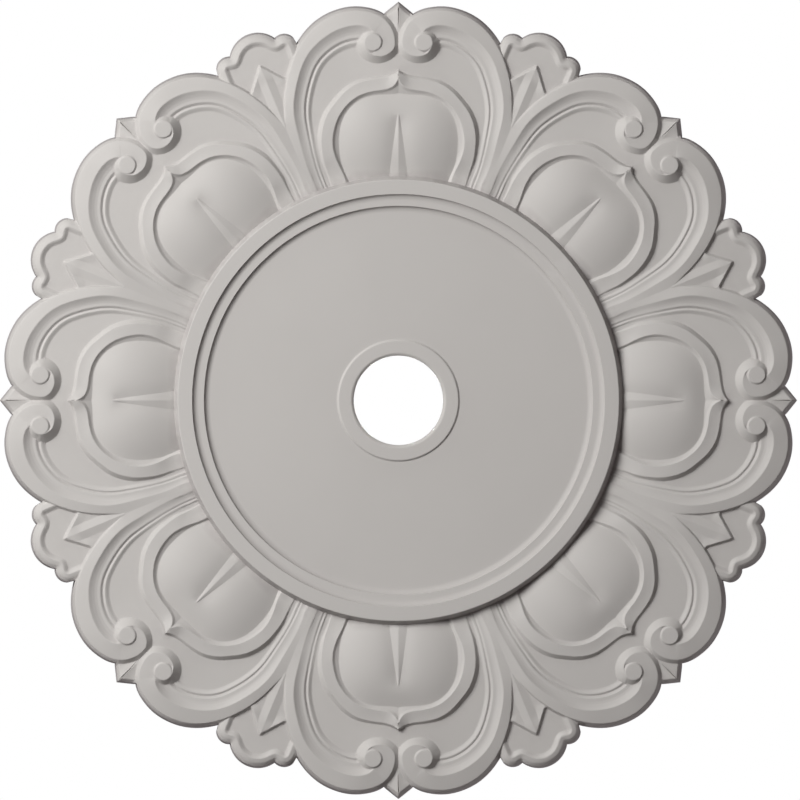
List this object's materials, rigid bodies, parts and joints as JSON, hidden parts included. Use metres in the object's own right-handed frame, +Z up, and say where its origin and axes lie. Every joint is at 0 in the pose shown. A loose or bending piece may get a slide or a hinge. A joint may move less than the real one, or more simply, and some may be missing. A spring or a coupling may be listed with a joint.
{
  "type": "ceiling rose",
  "caption": "Round moulded ceiling rose with a centre hole, a stepped ring and scrolled petals round its edge.",
  "frame": {"origin": "centre of the back face, in the plane of the ceiling, on the axis of the centre hole", "axes": "+Z up into the ceiling, the carved face looks down along -Z, one petal points along +Y and one along +X"},
  "size_m": [0.8212, 0.8212, 0.0316],
  "materials": {
    "primed_moulding": "factory primed, matt pale warm grey"
  },
  "bodies": {
    "root": {"ceiling_rose": "primed_moulding"}
  },
  "joints": []
}
